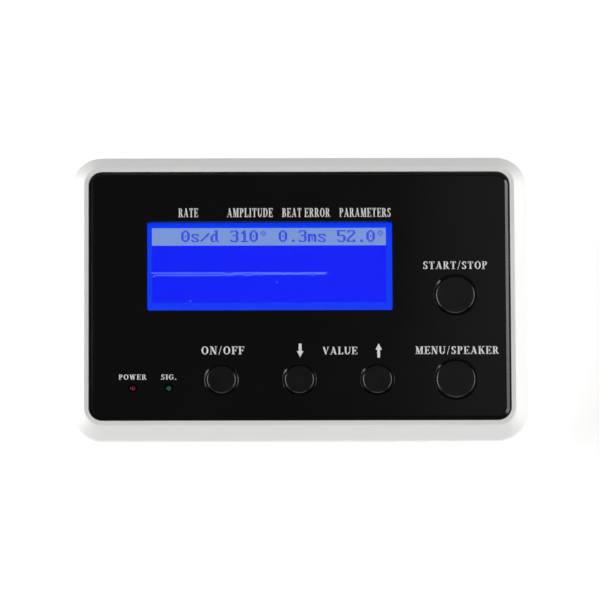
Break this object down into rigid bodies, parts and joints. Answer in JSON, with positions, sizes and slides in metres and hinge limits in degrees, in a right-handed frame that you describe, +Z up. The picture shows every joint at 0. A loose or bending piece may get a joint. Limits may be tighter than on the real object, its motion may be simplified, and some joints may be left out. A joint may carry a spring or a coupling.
{
  "type": "timegrapher",
  "caption": "Wedge-shaped desktop timing instrument for mechanical watch movements, with a graphic display, push buttons, lamps and rear sockets.",
  "frame": {"origin": "on the surface that it stands on, under the middle of its outline", "axes": "+X to the user's right along the front edge, +Y from the front edge to the rear wall, +Z up"},
  "size_m": [0.19, 0.1218, 0.0436],
  "materials": {
    "silver_housing": "satin silver, moulded",
    "black_fascia": "matte black with white print and a polished edge",
    "clear_pane": "clear",
    "steel_sheet": "pressed sheet",
    "display_cell": "lit blue display",
    "white_moulding": "moulded",
    "circuit_board": "solder mask",
    "black_package": "moulded",
    "red_lens": "tinted lens",
    "green_lens": "tinted lens",
    "aluminium_can": "drawn can",
    "black_socket": "moulded",
    "plated_pin": "plated",
    "grey_ribbon": "flat cable",
    "plastic_film": "thin film",
    "dark_magnet": "sintered",
    "black_rubber": "soft",
    "zinc_screw": "zinc plated",
    "black_button": "matte black, moulded"
  },
  "bodies": {
    "housing": {"bottom_shell": "silver_housing", "capacitors": "aluminium_can", "case_screws": "zinc_screw", "dc_socket": "black_socket", "dc_socket_pin": "plated_pin", "display_ribbon": "grey_ribbon", "display_window": "clear_pane", "front_panel": "black_fascia", "key_board": "circuit_board", "key_board_screws": "zinc_screw", "key_ribbon": "grey_ribbon", "lcd_backlight": "white_moulding", "lcd_bezel": "steel_sheet", "lcd_board": "circuit_board", "lcd_drivers": "black_package", "lcd_glass": "display_cell", "lcd_screws": "zinc_screw", "led_spacers": "black_package", "main_board": "circuit_board", "main_board_screws": "zinc_screw", "main_processor": "black_package", "power_led": "red_lens", "ribbon_plugs": "white_moulding", "rubber_feet": "black_rubber", "sensor_socket": "black_socket", "signal_led": "green_lens", "speaker_diaphragm": "plastic_film", "speaker_frame": "steel_sheet", "speaker_magnet": "dark_magnet", "speaker_screws": "zinc_screw", "switch_housings": "black_package", "timing_crystal": "steel_sheet", "top_shell": "silver_housing", "voltage_regulator": "black_package"},
    "on_off_key": {"on_off_button": "black_button", "on_off_plunger": "black_package"},
    "value_down_key": {"value_down_button": "black_button", "value_down_plunger": "black_package"},
    "value_up_key": {"value_up_button": "black_button", "value_up_plunger": "black_package"},
    "menu_key": {"menu_button": "black_button", "menu_plunger": "black_package"},
    "start_stop_key": {"start_stop_button": "black_button", "start_stop_plunger": "black_package"}
  },
  "joints": [
    {"name": "on_off_press", "type": "slide", "parent": "housing", "child": "on_off_key", "axis": [0, 0.2079, -0.9781], "range_m": [0, 0.0005], "stiffness_N_per_m": 2500, "springref_m": -0.0003},
    {"name": "value_down_press", "type": "slide", "parent": "housing", "child": "value_down_key", "axis": [0, 0.2079, -0.9781], "range_m": [0, 0.0005], "stiffness_N_per_m": 2500, "springref_m": -0.0003},
    {"name": "value_up_press", "type": "slide", "parent": "housing", "child": "value_up_key", "axis": [0, 0.2079, -0.9781], "range_m": [0, 0.0005], "stiffness_N_per_m": 2500, "springref_m": -0.0003},
    {"name": "menu_press", "type": "slide", "parent": "housing", "child": "menu_key", "axis": [0, 0.2079, -0.9781], "range_m": [0, 0.0005], "stiffness_N_per_m": 2500, "springref_m": -0.0003},
    {"name": "start_stop_press", "type": "slide", "parent": "housing", "child": "start_stop_key", "axis": [0, 0.2079, -0.9781], "range_m": [0, 0.0005], "stiffness_N_per_m": 2500, "springref_m": -0.0003}
  ]
}
